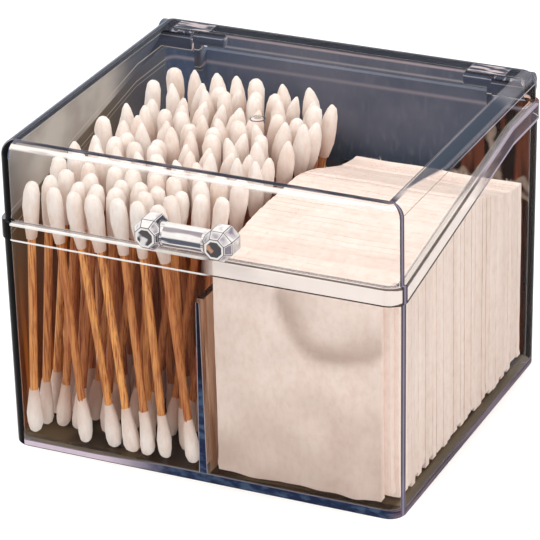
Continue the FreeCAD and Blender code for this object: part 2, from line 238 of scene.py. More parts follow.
def srgb(red, green, blue):
    """Linear colour from 0-255 display values."""
    def linear(c):
        c /= 255
        return c / 12.92 if c <= 0.04045 else ((c + 0.055) / 1.055) ** 2.4
    return linear(red), linear(green), linear(blue), 1.0


# ---------------------------------------------------------------- clear plastic
#
# Clear walls show what gathers in them as tones, placed on the box's own axes: x runs to the
# right, y to the back and z up. Steps and stripes take their places in millimetres.

@effect({"Position": VECTOR, "Half X": FLOAT, "Half Y": FLOAT, "Radius": FLOAT},
        {"Reach": FLOAT, "Turn": FLOAT})
def box_outline(given):
    """How far a point lies outside a rounded rectangle seen from above, and its angle round the corner."""
    x, y, _ = axes(given["Position"])
    reach_x = abs(x) - given["Half X"] + given["Radius"]
    reach_y = abs(y) - given["Half Y"] + given["Radius"]
    out_x = maths("MAXIMUM", reach_x, 0.0)
    out_y = maths("MAXIMUM", reach_y, 0.0)
    inside = maths("MINIMUM", maths("MAXIMUM", reach_x, reach_y), 0.0)
    return {"Reach": maths("SQRT", out_x * out_x + out_y * out_y) + inside,
            "Turn": maths("ARCTAN2", out_x, maths("MAXIMUM", out_y, 0.001 * MM))}


def rim_height(y):
    """Height of the rim's top at a distance from the front."""
    return y.add("ShaderNodeMapRange", {"Value": y, "From Min": RIM_RISE_START, "From Max": RIM_RISE_END,
                                        "To Min": RIM_FRONT, "To Max": RIM_BACK}, clamp=True)["Result"]


@effect({"Position": VECTOR}, {"Tone": COLOUR, "Depth": FLOAT})
def wall_shade(given):
    """Tone of the smoky reflections inside the box at a place: slate up the back, brown below."""
    position = given["Position"]
    x, y, z = axes(position)
    cloud = soft_noise(position, (1, 1, 1), 55.0, 3.0)
    upright = soft_noise(position, (1, 1, 0.07), 330.0, 3.0)
    fine = soft_noise(position, (1, 1, 0.3), 900.0, 3.0)

    slate = blend(step(x, -52, -14), srgb(62, 76, 102), srgb(98, 101, 116))
    slate = blend(ramp(cloud, 0.34, 0.66, 0.0, 0.75), slate, srgb(72, 80, 96))
    slate = blend(step(z, 53, 66, DOWN), slate, srgb(44, 57, 74))
    slate = blend(ramp(fine, 0.5, 0.72, 0.0, 0.16), slate, srgb(122, 126, 138))
    umber = blend(ramp(upright, 0.4, 0.6), srgb(24, 12, 8), srgb(94, 50, 32))
    umber = blend(ramp(upright, 0.62, 0.7, 0.0, 0.85), umber, srgb(150, 66, 40))
    umber = blend(band(cloud, 0.55, 0.6, 0.02) * step(x, 20, 30), umber, srgb(140, 124, 112))
    back = blend(step(x - z * 0.8, -13.2, -12.0), slate, umber)
    back = blend(step(z, 46, 54, DOWN), back, umber)
    for low, high, soft, tone in BACK_LINES:
        back = blend(stripe(z, low, high, soft), back, srgb(*tone))

    above = z - rim_height(y)
    lid_grey = blend(ramp(cloud, 0.34, 0.66), srgb(160, 153, 146), srgb(194, 188, 180))
    lid_grey = blend(step(y, 8, 40), lid_grey, srgb(64, 72, 90))
    lid_grey = blend(step(y, -48, -38, (0.6, 0.0)), lid_grey, srgb(92, 88, 90))
    olive = blend(ramp(upright, 0.4, 0.62), srgb(94, 48, 14), srgb(168, 100, 36))
    olive = blend(step(z, 20, 66), olive, srgb(100, 88, 72))
    side = blend(step(above, -1.2, 0.2), olive, lid_grey)
    side = blend(step(y, 2, 34) * step(z, 50, 60) * 0.85, side, srgb(54, 62, 80))
    for low, high, soft, tone in SIDE_LINES:
        side = blend(stripe(above, low, high, soft), side, srgb(*tone))
    side = blend(stripe(z, 86.0, 86.2, 0.1), side, srgb(150, 148, 154))
    side = blend(step(z, 86.5, 86.9), side, srgb(30, 28, 38))

    tone = blend(step(y, 45.5, 47.5), side, back)
    ground = blend(ramp(cloud, 0.4, 0.6), srgb(50, 36, 25), srgb(98, 80, 56))
    ground = blend(step(x, 53.6, 54.8), ground, srgb(112, 98, 78))
    tone = blend(step(z, 0.1, 0.6, DOWN, FLOOR_TOP), tone, ground)
    return {"Tone": tone, "Depth": 0.997 - step(z, 0.0, 0.2, datum=CEILING) * 0.71}


def smoked_inside(name):
    """Inner faces of the box: deep where they are looked at from inside, clear from behind."""
    made, shader, add = material(name)
    made.use_backface_culling = True
    shade = add("ShaderNodeGroup", {"Position": add("ShaderNodeTexCoord")["Object"]}, node_tree=wall_shade)
    facing_in = 1.0 - add("ShaderNodeNewGeometry")["Backfacing"]
    shown = facing_in * add("ShaderNodeLightPath")["Is Camera Ray"]
    put(shader, {"Base Color": shade["Tone"], "Alpha": shade["Depth"] * shown, "Roughness": 0.25,
                 "Specular IOR Level": 0.1})
    return made


@effect({"Position": VECTOR}, {"Tone": COLOUR})
def edge_glass(given):
    """Dark tone of the plastic's own thickness, seen where a wall, corner or edge is end on."""
    x, _, z = axes(given["Position"])
    deep = blend(step(x, -20, 20), srgb(20, 12, 12), srgb(26, 15, 12))
    patch = soft_noise(given["Position"], (1, 1, 1), 420.0, 3.0)
    sole = blend(ramp(patch, 0.36, 0.62), srgb(86, 74, 60), srgb(132, 116, 100))
    deep = blend(step(z, 0.3, 0.6), sole, deep)
    return {"Tone": blend(step(z, 82.5, 85), deep, srgb(52, 58, 72))}


@effect({"Position": VECTOR, "Reach": FLOAT, "Turn": FLOAT},
        {"Right": FLOAT, "Right Tone": COLOUR, "Left": FLOAT, "Left Tone": COLOUR})
def corner_posts(given):
    """Dark posts where the upright corners turn away, placed by the angle round each corner."""
    x, y, z = axes(given["Position"])
    turn = given["Turn"]
    round_part = step(given["Reach"], 0.7, 1.1)
    grey = blend(turned_band(turn, 68, 78, 0.05), srgb(42, 38, 52), srgb(134, 126, 146))
    grey = blend(step(z, 3, 16, (0.35, 0.0)), grey, srgb(150, 140, 164))
    right = turned_band(turn, 61, 86, 0.03) * step(x, -5, 5) * round_part
    black = blend(ramp(turn, radians(46), radians(52)), srgb(10, 6, 8), srgb(136, 132, 144))
    start = step(y, -5, 5, (radians(7), radians(58)))
    wide = (turn > start) * ramp(turn, radians(84), radians(88), *DOWN)
    left = wide * step(x, 5, -5) * round_part
    return {"Right": right, "Right Tone": grey, "Left": left, "Left Tone": black}


def off_hinges(x):
    """Distance across from the middle of the nearer ear."""
    return abs(abs(x) - HINGE_X)


@effect({"Position": VECTOR}, {"Mask": FLOAT, "Tone": COLOUR})
def hinge_glints(given):
    """Dark knuckles with the pale outlines and coppery glints that the hinge's pegs gather."""
    position = given["Position"]
    x, y, z = axes(position)
    near = step(off_hinges(x), 11.6, 12.0, DOWN) * step(y, -5.5, -5.0, datum=HINGE_Y)
    near = near * band(z, 78 * MM, LID_HIGH.z - 1.6 * MM, 0.1 * MM) * step(y, -0.3, -0.6, datum=LID_HIGH.y)
    streak = soft_noise(position, (0.16, 1, 1), 700.0, 2.0)
    lit = ramp(streak, 0.44, 0.54) * step(z, 84.6, 85.4, DOWN)
    copper = blend(lit, srgb(62, 68, 84), srgb(206, 172, 156))
    swirl = soft_noise(position, (1, 1, 1), 300.0, 1.0)
    curl = band(swirl, 0.465, 0.52, 0.012) * step(z, 86, 87, (1.0, 0.25))
    return {"Mask": near, "Tone": blend(curl, copper, srgb(232, 222, 226))}


def clear_plastic(name, half_x, half_y, radius, lines):
    """Clear moulded plastic from outside: hardly there face on, with dark and bright lines at its edges."""
    made, shader, add = material(name)
    position = add("ShaderNodeTexCoord")["Object"]
    outline = add("ShaderNodeGroup", {"Position": position, "Half X": half_x, "Half Y": half_y,
                                      "Radius": radius}, node_tree=box_outline)
    reach = outline["Reach"]
    facing = add("ShaderNodeLayerWeight", {"Blend": 0.5})["Facing"]
    haze = ramp(facing, 0.72, 1.0, 0.012, 0.8)
    tone = blend(ramp(facing, 0.7, 0.9), srgb(206, 200, 206), srgb(52, 54, 72))
    glints = add("ShaderNodeGroup", {"Position": position}, node_tree=hinge_glints)
    posts = add("ShaderNodeGroup", {"Position": position, "Reach": reach, "Turn": outline["Turn"]},
                node_tree=corner_posts)
    edge = add("ShaderNodeGroup", {"Position": position}, node_tree=edge_glass)
    behind = add("ShaderNodeNewGeometry")["Backfacing"] * step(reach, -1.6, -1.2, datum=radius)
    marks = lines(position, reach)
    marks += [(glints["Mask"], glints["Tone"], 0.95), (posts["Right"], posts["Right Tone"], 0.97),
              (posts["Left"], posts["Left Tone"], 0.995), (behind, edge["Tone"], 0.99)]
    colour, solid = lay(tone, haze, marks)
    shown = maths("MAXIMUM", add("ShaderNodeLightPath")["Is Camera Ray"], 0.1)
    put(shader, {"Base Color": colour, "Alpha": solid * shown, "Roughness": 0.1, "Specular IOR Level": 0.04})
    return made


def lid_lines(position, reach):
    """Marks of the lid, in the order they are laid: edges, hinge slots, and the gate's ring."""
    x, y, z = axes(position)
    top = step(z, -0.2, 0.2, datum=LID_HIGH.z - LID_EDGE)
    front_top = step(y, 3.8, 4.6, DOWN, LID_LOW.y) * top
    far = maths("MAXIMUM", step(x, 3.8, 4.6, DOWN, LID_LOW.x), step(y, -4.6, -3.8, datum=LID_HIGH.y))
    far_top = far * top
    right = step(x, -4.6, -3.8, datum=LID_HIGH.x) * top
    right_face = step(x, -0.8, -0.5, datum=LID_HIGH.x)
    above = z - rim_height(y)

    film_end = reach - step(y, -46, -16, (0.9 * MM, 3.7 * MM))
    film = step(film_end, -0.4, 0.3, DOWN) * right * step(reach, 0.2, 0.9)
    film = film * step(y, -44, -34, (0.25, 1.0)) * step(y, 22, 36, (1.0, 0.35))
    foot = step(above, 0.3, 0.5, DOWN)
    foot_top = above - step(y, -14, 2, (1.7 * MM, 0.5 * MM))
    foot_right = step(foot_top, -0.1, 0.2, DOWN) * right_face
    foot_tone = blend(step(y, -14, 6), srgb(250, 236, 226), srgb(150, 136, 150))
    slot = step(off_hinges(x), 5.0, 5.8, DOWN) * step(y, -9.8, -9.0, datum=LID_HIGH.y) * step(z, 80, 80.1)
    sweep = soft_noise(position, (0.22, 1.3, 1), 560.0, 2.0)
    slot_tone = blend(ramp(sweep, 0.49, 0.6), srgb(60, 66, 82), srgb(196, 180, 182))
    fold = stripe(z, -3.55, -3.25, 0.1, LID_HIGH.z) * right_face
    fold_tone = blend(step(y, -20, 6), srgb(128, 108, 100), srgb(214, 204, 220))
    slate_band = step(reach, 1.1, 1.4) * far_top
    black_line = stripe(reach, 0.15, 1.2, 0.15) * far_top
    side_line = stripe(reach, 0.05, 0.4, 0.1) * right * step(y, 8, -22, (0.35, 1.0))
    wavy = soft_noise(position, (0.12, 1, 1), 800.0, 2.0)
    bright = stripe(reach, 2.1, 3.3, 0.25) * front_top * ramp(wavy, 0.3, 0.5, 0.6, 1.0)
    front_right = right * step(y, -47, -34, DOWN)
    dark = stripe(reach, 0.1, 1.6, 0.2) * maths("MAXIMUM", front_top, front_right)
    dark_tone = blend(ramp(wavy, 0.4, 0.62), srgb(48, 50, 62), srgb(108, 102, 110))
    off = position.add("ShaderNodeVectorMath", {0: position, 1: (0, GATE_Y, LID_HIGH.z)},
                       operation="DISTANCE")["Value"]
    ring = stripe(off, 1.75, 2.2, 0.1) * top
    nub = step(off, 0.7, 0.9, DOWN) * top
    return [(film, srgb(62, 70, 84), 0.88), (foot, srgb(236, 228, 224), 0.3), (foot_right, foot_tone, 0.8),
            (slot, slot_tone, 0.985), (fold, fold_tone, 0.6), (slate_band, srgb(88, 102, 124), 0.985),
            (black_line, srgb(48, 52, 64), 0.99), (side_line, srgb(52, 50, 60), 0.9),
            (bright, srgb(252, 244, 238), 0.84), (dark, dark_tone, 0.98), (ring, srgb(46, 44, 50), 0.8),
            (nub, srgb(120, 116, 120), 0.5)]


def tray_lines(position, reach):
    """Marks of the tray, in the order they are laid: rim and band, the floor's thick edge, the divider."""
    x, y, z = axes(position)
    above = z - rim_height(y)
    outside = step(reach, -0.65, -0.5, datum=TRAY_CORNER)
    right_part = step(x, 2, 6)
    deep = step(y, -4, 12)
    bold = step(x, -3, -0.5, datum=TRAY_HIGH.x) * (0.3 * MM)

    strip = band(above, -RIM_BAND, 0, 0.1 * MM) * outside
    strip_tone = blend(deep, srgb(255, 250, 246), srgb(96, 78, 90))
    veil = right_part * (deep * 0.12 + 0.5)
    rim_top = step(above, -0.06, -0.03)
    rim = (above > right_part * (0.3 * MM) - 0.6 * MM - bold) * outside
    foot_low = right_part * (0.35 * MM) - (RIM_BAND + 0.35 * MM) - bold * 1.8
    foot_line = (above > foot_low) * (above < bold - (RIM_BAND - 0.4 * MM)) * outside
    line_tone = blend(deep, srgb(62, 52, 50), srgb(178, 166, 180))
    line_tone = blend(right_part, srgb(255, 252, 248), line_tone)
    far_side = maths("MAXIMUM", step(x, 5, 4, datum=TRAY_LOW.x), step(y, -5, -4, datum=TRAY_HIGH.y))
    rim_back = rim_top * far_side

    base = step(z, 0.05, 0.1, DOWN)
    side = step(reach, -1.6, -1.2, datum=TRAY_CORNER)
    edge_top = step(x, -34, -6, (2.0 * MM, 2.8 * MM))
    edge = (z < edge_top) * side
    patch = soft_noise(position, (1, 1, 2.5), 260.0, 3.0)
    navy = blend(ramp(patch, 0.42, 0.66), srgb(34, 44, 74), srgb(66, 84, 110))
    front_tone = blend(step(x, -32, -8), srgb(222, 204, 220), navy)
    grooves = soft_noise(position, (0.2, 0.06, 3.0), 420.0, 3.0)
    violet = blend(ramp(grooves, 0.4, 0.62), srgb(50, 38, 50), srgb(116, 98, 114))
    edge_tone = blend(step(x, -5, -1.5, datum=TRAY_HIGH.x), front_tone, violet)
    hem = stripe(z - edge_top, 0.0, 0.25, 0.06) * side
    hem_tone = blend(step(x, 48, 56), srgb(126, 122, 136), srgb(78, 66, 80))
    sole = step(z, 0.45, 0.6, DOWN) * side

    across = abs(x - DIVIDER_X)
    half = 1.25 * MM - z * 0.013
    end_on = (across < half) * step(y, 1.0, 1.2, DOWN, TRAY_LOW.y) * band(z, 3 * MM, DIVIDER_TOP, 0.1 * MM)
    ink = blend(step(z, 26, 34), navy, srgb(20, 22, 36))
    rimmed = end_on * (across > half - 0.2 * MM)
    inner = (across < 2.2 * MM) * band(y, TRAY_LOW.y + 3 * MM, TRAY_HIGH.y - 3 * MM, 0.2 * MM)
    inner = inner * step(z, 0.05, 0.1, datum=FLOOR_TOP)
    reddish = soft_noise(position, (1, 1, 0.1), 260.0, 3.0)
    wall = blend(ramp(reddish, 0.4, 0.6), srgb(172, 124, 92), srgb(232, 196, 168))
    lip = inner * step(z, -0.15, -0.05, datum=DIVIDER_TOP)
    return [(strip, strip_tone, veil), (rim_top, srgb(246, 240, 238), 0.3), (rim, line_tone, 0.85),
            (foot_line, line_tone, 0.9), (rim_back, srgb(50, 52, 62), 0.99),
            (base, srgb(108, 96, 82), 0.97), (edge, edge_tone, 0.985), (hem, hem_tone, 0.85),
            (sole, srgb(30, 28, 40), 0.985), (end_on, ink, 0.99), (rimmed, srgb(180, 176, 186), 0.6),
            (inner, wall, 0.7), (lip, srgb(26, 22, 26), 0.95)]


# ---------------------------------------------------------------- cotton, wood and the handle's plastic

@effect({"Position": VECTOR, "Scale": FLOAT, "Mottle Scale": FLOAT}, {"Mask": FLOAT, "Relief": FLOAT})
def cotton_fibres(given):
    """Short cotton fibres and faint mottling, as a mask, and the fibres' own relief."""
    position = given["Position"]
    fibres = position.add("ShaderNodeTexNoise", {"Vector": position, "Scale": given["Scale"], "Detail": 5.0,
                                                 "Roughness": 0.65})["Fac"]
    mottle = soft_noise(position, (1, 1, 0.4), given["Mottle Scale"], 2.0)
    return {"Mask": ramp(fibres, 0.3, 0.62) * 0.55 + ramp(mottle, 0.3, 0.65) * 0.45, "Relief": fibres}


def cotton(name, light, shadow, deep, scale, stretch, bump):
    """Matt cotton with a soft sheen; the mesh's shade takes its colour towards deep."""
    made, shader, add = material(name)
    position = add("ShaderNodeTexCoord")["Object"]
    stretched = add("ShaderNodeMapping", {"Vector": position, "Scale": (1.0, 1.0, stretch)})["Vector"]
    nap = add("ShaderNodeGroup", {"Position": stretched, "Scale": scale, "Mottle Scale": scale * 0.16},
              node_tree=cotton_fibres)
    colour = blend(nap["Mask"], shadow, light)
    colour = blend(add("ShaderNodeAttribute", attribute_name="shade")["Fac"], colour, deep)
    relief = add("ShaderNodeBump", {"Height": nap["Relief"], "Strength": bump,
                                    "Distance": 0.25 * MM})["Normal"]
    put(shader, {"Base Color": colour, "Normal": relief, "Roughness": 0.95, "Specular IOR Level": 0.12,
                 "Sheen Weight": 0.15})
    return made


def birch(name):
    """Bare birch stick: long grain, dark specks, and each stick its own tint from the mesh."""
    made, shader, add = material(name)
    position = add("ShaderNodeTexCoord")["Object"]
    grain = soft_noise(position, (1, 1, 0.04), 2300.0, 4.0, 0.6)
    specks = soft_noise(position, (1, 1, 0.25), 700.0, 3.0)
    tint = add("ShaderNodeAttribute", attribute_name="tint")["Fac"]
    pale = blend(tint, srgb(150, 64, 16), srgb(248, 174, 96))
    colour = blend(ramp(grain, 0.32, 0.6), srgb(152, 68, 20), pale)
    colour = blend(ramp(specks, 0.58, 0.74, 0.0, 0.4), colour, srgb(132, 58, 20))
    relief = add("ShaderNodeBump", {"Height": grain, "Strength": 0.4, "Distance": 0.1 * MM})["Normal"]
    put(shader, {"Base Color": colour, "Normal": relief, "Roughness": ramp(grain, 0.3, 0.7, 0.7, 0.55)})
    return made


def crystal(name):
    """Cut clear plastic of the handle: toned facets with dark edges, and bands of light along the bar."""
    made, shader, add = material(name)
    position = add("ShaderNodeTexCoord")["Object"]
    x, y, z = axes(position)
    facet = add("ShaderNodeAttribute", attribute_name="facet")["Fac"]
    swirl = soft_noise(position, (1, 1, 1), 420.0, 1.0)
    tone = facet + (swirl - 0.5) * 0.9
    glass = blend(ramp(tone, 0.1, 0.32), srgb(58, 52, 66), srgb(134, 124, 138))
    glass = blend(ramp(tone, 0.32, 0.6), glass, srgb(216, 208, 208))
    glass = blend(ramp(tone, 0.6, 0.75), glass, srgb(253, 248, 245))
    glint = blend(x > 0.0, srgb(226, 222, 222), srgb(196, 148, 118))
    glint = blend(ramp(swirl, 0.48, 0.6), srgb(70, 66, 72), glint)
    glass = blend(facet < TABLE_MARK + 0.1, glass, glint)
    glass = blend(facet < SEAM_MARK + 0.1, glass, srgb(62, 58, 68))

    along = soft_noise(position, (0.1, 1, 1), 900.0, 1.0)
    turn = maths("ARCTAN2", z - BAR_Z, BAR_Y - y) + (along - 0.5) * 0.5
    bar = srgb(250, 244, 240)
    for low, high, shine in BAR_BANDS:
        bar = blend(turned_band(turn, low, high, 0.06), bar, srgb(*shine))
    on_bar = step(abs(x), 5.4, 5.7, DOWN)
    put(shader, {"Base Color": blend(on_bar, glass, bar), "Alpha": ramp(tone, 0.2, 0.8, 0.95, 0.8),
                 "Roughness": 0.06, "Specular IOR Level": 0.3})
    return made


# ---------------------------------------------------------------- pieces

def dressed(node, bm, body, finishes, crease):
    """Finished piece that stands for a CAD node: smooth, with edges crisp from a crease in degrees."""
    mesh = stored(bm, "dressed_" + node)
    for finish in finishes:
        mesh.materials.append(finish)
    mesh.shade_smooth()
    mesh.set_sharp_from_angle(angle=radians(crease))
    piece = bpy.data.objects.new(mesh.name, mesh)
    bpy.context.scene.collection.objects.link(piece)
    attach(piece, body)
    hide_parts(node)
    return piece


def stored(bm, name):
    """Mesh from a bmesh, which is freed."""
    mesh = bpy.data.meshes.new(name)
    bm.to_mesh(mesh)
    bm.free()
    return mesh


def merged(node):
    """Copy of a CAD node's mesh with its doubled points joined."""
    bm = bmesh.new()
    bm.from_mesh(NODES[node].data)
    bmesh.ops.remove_doubles(bm, verts=bm.verts, dist=0.002 * MM)
    return bm


def looks_inward(face, low, high):
    """True for a face of a wall, floor or ceiling that looks into the box."""
    place, normal = face.calc_center_median(), face.normal
    knuckle_end = abs(normal.x) > 0.9 and abs(place.x) < high.x - 3.2 * MM and place.y > high.y - 7 * MM
    if knuckle_end and low.z > FLOOR_TOP:
        return False
    wall_reach = 4.5 * MM
    for axis in (0, 1):
        if place[axis] > high[axis] - wall_reach and normal[axis] < -0.3:
            return True
        if place[axis] < low[axis] + wall_reach and normal[axis] > 0.3:
            return True
    on_floor = normal.z > 0.9 and place.z < FLOOR_TOP + 0.1 * MM
    on_ceiling = normal.z < -0.9 and place.z > CEILING
    at_back = abs(place.x) < high.x - 1.0 * MM and high.y - 12 * MM < place.y < high.y - 0.6 * MM
    on_ear = at_back and normal.y < 0.3 and RIM_BACK - 12 * MM < place.z < RIM_BACK + 7.0 * MM
    return on_floor or on_ceiling or on_ear


def dress_shell(node, body, inner, outer):
    """A CAD shell in clear plastic, its inner faces smoked, its rounds smooth and its edges crisp."""
    bm = merged(node)
    low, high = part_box(node)
    for face in bm.faces:
        face.material_index = 1 if looks_inward(face, low, high) else 0
    piece = dressed(node, bm, body, [outer, inner], 32)
    weights = piece.modifiers.new("flat_faces_rule", "WEIGHTED_NORMAL")
    weights.keep_sharp = True


def islands(bm):
    """Separate solids of a bmesh, as lists of vertices."""
    seen = set()
    found = []
    for start in bm.verts:
        if start in seen:
            continue
        seen.add(start)
        island, waiting = [start], [start]
        while waiting:
            vertex = waiting.pop()
            for edge in vertex.link_edges:
                other = edge.other_vert(vertex)
                if other not in seen:
                    seen.add(other)
                    island.append(other)
                    waiting.append(other)
        found.append(island)
    return found


def solids_of(node):
    """The points of each separate solid in a node."""
    bm = merged(node)
    found = [[vertex.co.copy() for vertex in island] for island in islands(bm)]
    bm.free()
    return found


def middle_of(points):
    return sum(points, Vector()) / len(points)


def stick_ends(node):
    """(lower, upper) end of each stick in a node, from its round end faces."""
    ends = []
    for points in solids_of(node):
        points.sort(key=lambda co: co.z)
        half = len(points) // 2
        ends.append((middle_of(points[:half]), middle_of(points[half:])))
    return ends


def is_pointed(points, end, direction):
    """True where no point near the tip's end stands far from its line."""
    widest = 0.0
    for co in points:
        ahead = (co - end).dot(direction)
        if ahead < 1.5 * MM:
            widest = max(widest, ((co - end) - direction * ahead).length)
    return widest < 1.4 * MM


def lathe(rings, sides):
    """Closed turned shape from (radius, height) rings, its start bulging a little past the first."""
    bm = bmesh.new()
    chain = [bm.verts.new((0, 0, rings[0][1] - rings[0][0] * 0.35))]
    chain += [bm.verts.new((radius, 0, height)) for radius, height in rings]
    for one, other in zip(chain, chain[1:]):
        bm.edges.new((one, other))
    bmesh.ops.spin(bm, geom=bm.verts[:] + bm.edges[:], cent=(0, 0, 0), axis=(0, 0, 1),
                   angle=math.tau, steps=sides, use_merge=True)
    bmesh.ops.remove_doubles(bm, verts=bm.verts, dist=0.001 * MM)
    open_edges = [e for e in bm.edges if e.is_boundary]
    if open_edges:
        bmesh.ops.edgeloop_fill(bm, edges=open_edges)
    bmesh.ops.recalc_face_normals(bm, faces=bm.faces)
    return bm


def tip_pattern(size, profile):
    """Wound cotton tip, its end at the origin and its neck along +Z."""
    radius, length = size
    return stored(lathe([(share * radius, part * length) for share, part in profile], 9), "tip_pattern")


def turned_to(direction, place):
    return Matrix.Translation(place) @ direction.to_track_quat("Z", "Y").to_matrix().to_4x4()


def add_copy(target, shape, matrix):
    """Adds a transformed copy of a small mesh to a bmesh and returns the new vertices."""
    before = len(target.verts)
    target.from_mesh(shape)
    target.verts.ensure_lookup_table()
    fresh = target.verts[before:]
    bmesh.ops.transform(target, matrix=matrix, verts=fresh)
    return fresh


def ruffle(verts, place, amount, scale):
    """Pushes points about by smooth noise, so that no two wound tips are alike."""
    for vertex in verts:
        vertex.co += noise.noise_vector(vertex.co * scale + place) * amount


def limited(value, low=0.0, high=1.0):
    return min(high, max(low, value))


def dress_swabs(wood, wool):
    """Sticks and cotton tips on the places of the CAD swabs, darker the deeper they stand in the box."""
    rng = random.Random(5)
    lower = tip_pattern(LOWER_TIP, ROUND_TIP)
    blunt, drawn = tip_pattern(UPPER_TIP, ROUND_TIP), tip_pattern(UPPER_TIP, DRAWN_TIP)
    stick = stored(lathe([(STICK_R, 0), (STICK_R, 1)], 10), "stick_pattern")
    for group in sorted(name.rsplit("_", 1)[1] for name in NODES if name.startswith("swab_sticks_")):
        sticks, tips = bmesh.new(), bmesh.new()
        tint = sticks.verts.layers.float.new("tint")
        dusk = tips.verts.layers.float.new("shade")
        wound = [(middle_of(points), points) for points in solids_of("swab_tips_" + group)]
        for low, high in stick_ends("swab_sticks_" + group):
            up = (high - low).normalized()
            span = Matrix.Diagonal((1, 1, (high - low).length, 1))
            to_wall = min(low.y - TRAY_LOW.y, TRAY_HIGH.y - low.y, low.x - TRAY_LOW.x + 3 * MM)
            depth = limited((to_wall - 5 * MM) / (20 * MM))
            shade = rng.uniform(0.45, 1.0) * (1 - 0.58 * depth)
            for vertex in add_copy(sticks, stick, turned_to(up, low) @ span):
                vertex[tint] = shade
            foot, head = low - up * TIP_SEAT, high + up * TIP_SEAT
            near = head - up * UPPER_TIP[1] / 2
            points = min(wound, key=lambda item: (item[0] - near).length)[1]
            upper = drawn if is_pointed(points, head, -up) else blunt
            for shape, end, direction in ((lower, foot, up), (upper, head, -up)):
                spin = Matrix.Rotation(rng.uniform(0, math.tau), 4, "Z")
                plump = rng.uniform(0.88, 1.06)
                girth = Matrix.Diagonal((plump, plump, 1, 1))
                fresh = add_copy(tips, shape, turned_to(direction, end) @ spin @ girth)
                ruffle(fresh, Vector((rng.uniform(0, 50), 0, 0)), 0.34 * MM, 300)
                bow = Vector((rng.uniform(-1, 1), rng.uniform(-1, 1), 0)) * 0.7 * MM
                dim = 0.75 * depth if shape is lower else 0.0
                for vertex in fresh:
                    from_end = (vertex.co - end).dot(direction) / UPPER_TIP[1]
                    vertex.co += bow * max(0.0, 0.6 - from_end) ** 2 * 2
                    vertex[dusk] = min(0.85, dim + max(0.0, 0.9 * (from_end - 0.3)))
        dressed("swab_sticks_" + group, sticks, "base", [wood], 70)
        dressed("swab_tips_" + group, tips, "base", [wool], 70)
    for mesh in (lower, blunt, drawn, stick):
        bpy.data.meshes.remove(mesh)


def off_line(place, line):
    """Distance of a place from a bent line, both in the same flat coordinates."""
    nearest = math.inf
    for one, other in zip(line, line[1:]):
        start, run = Vector(one), Vector(other) - Vector(one)
        along = limited((place - start).dot(run) / run.length_squared)
        nearest = min(nearest, (place - start - run * along).length)
    return nearest


def crease_height(x):
    """Height of the crease's lower edge, both in millimetres."""
    for one, other in zip(FRONT_CREASE, FRONT_CREASE[1:]):
        if x <= other[0]:
            return one[1] + (other[1] - one[1]) * (x - one[0]) / (other[0] - one[0])
    return FRONT_CREASE[-1][1]


def smooth_step(value, low, high):
    share = limited((value - low) / (high - low))
    return share * share * (3 - 2 * share)


def bell(distance, width):
    """1 at a line, falling away to nothing over a few widths."""
    return math.exp(-(distance / width) ** 2)


def pad_shape(low, high, rng, cells, lift, pinch, steps):
    """One cotton pad on edge: flat where its neighbours press it, its edges soft and a little frayed.

    Lift raises its foot, pinch thins its edges, and steps are how far its top drops to each neighbour's.
    """
    bm = bmesh.new()
    bmesh.ops.create_grid(bm, x_segments=cells[0], y_segments=cells[1], size=0.5)
    bmesh.ops.solidify(bm, geom=bm.faces[:], thickness=-1.0)
    size, middle = high - low, (high + low) / 2
    seed = Vector((rng.uniform(0, 90), rng.uniform(0, 90), 0))
    for vertex in bm.verts:
        u, v = (math.copysign(0.5 * (1 - (1 - min(1.0, 2 * abs(share))) ** 1.5), share)
                for share in vertex.co.xy)
        side = 1 if vertex.co.z > 0.5 else -1
        x, z = u * size.x, v * size.z
        edge = max(abs(u), abs(v)) * 2
        rim = smooth_step(edge, 0.93, 1.0)
        thick = PAD_SPREAD - pinch * smooth_step(edge, 0.975, 1.0)
        wave = noise.noise(Vector((x * 45, middle.y * 60, z * 30))) * 0.5 * MM
        fray = noise.noise(seed + Vector((x, z, 0)) * 170) * (0.16 if v > -0.45 else 0.6) * MM * rim
        if v > 0:
            along_edge = v * noise.noise(Vector((x * 60, middle.y * 14, 7.0))) * 0.9 * MM
        else:
            along_edge = -v * 2 * (lift + noise.noise(seed + Vector((x * 140, 3, 0))) * 0.8 * MM)
        vertex.co = middle + Vector((x + math.copysign(fray, x), side * size.y / 2 * thick + wave,
                                     z + math.copysign(fray, z) * 0.6 + rim * along_edge))
        vertex.co.z -= steps[side > 0] * smooth_step(2 * v, 0.88, 1.0)
        vertex.co.z = max(vertex.co.z, low.z)
    bmesh.ops.recalc_face_normals(bm, faces=bm.faces)
    return bm


def fold_front(verts, front_y, shade):
    """Presses the soft crease into the front pad's face and shades it and the pad's lower part."""
    for vertex in verts:
        place = Vector((vertex.co.x, vertex.co.z)) / MM
        facing = 1 - smooth_step(vertex.co.y, front_y + 0.8 * MM, front_y + 1.6 * MM)
        away = off_line(place, FRONT_CREASE)
        swell = 0.35 * bell(place.x - 37, 12) * bell(place.y - 54, 7)
        vertex.co.y += (0.55 * bell(away, 2.6) - swell) * MM * facing
        dark = 0.46 * bell(away, 1.8 if place.y < crease_height(place.x) else 5.5)
        lower = 0.3 * (1 - smooth_step(place.y, 2, 40))
        upper = 0.1 * (1 - smooth_step(place.y, 42, 56))
        dusky = 0.2 * noise.noise(Vector((place.x * 0.08, place.y * 0.1, 4)))
        vertex[shade] = limited(facing * (upper + lower + dark + dusky))


def pad_boxes():
    """(node, lowest corner, highest corner) of every pad, front to back."""
    boxes = []
    for node in (name for name in NODES if name.startswith("cotton_pads_")):
        for points in solids_of(node):
            corners = (Vector(pick(co[axis] for co in points) for axis in range(3)) for pick in (min, max))
            boxes.append((node, *corners))
    return sorted(boxes, key=lambda box: box[1].y)


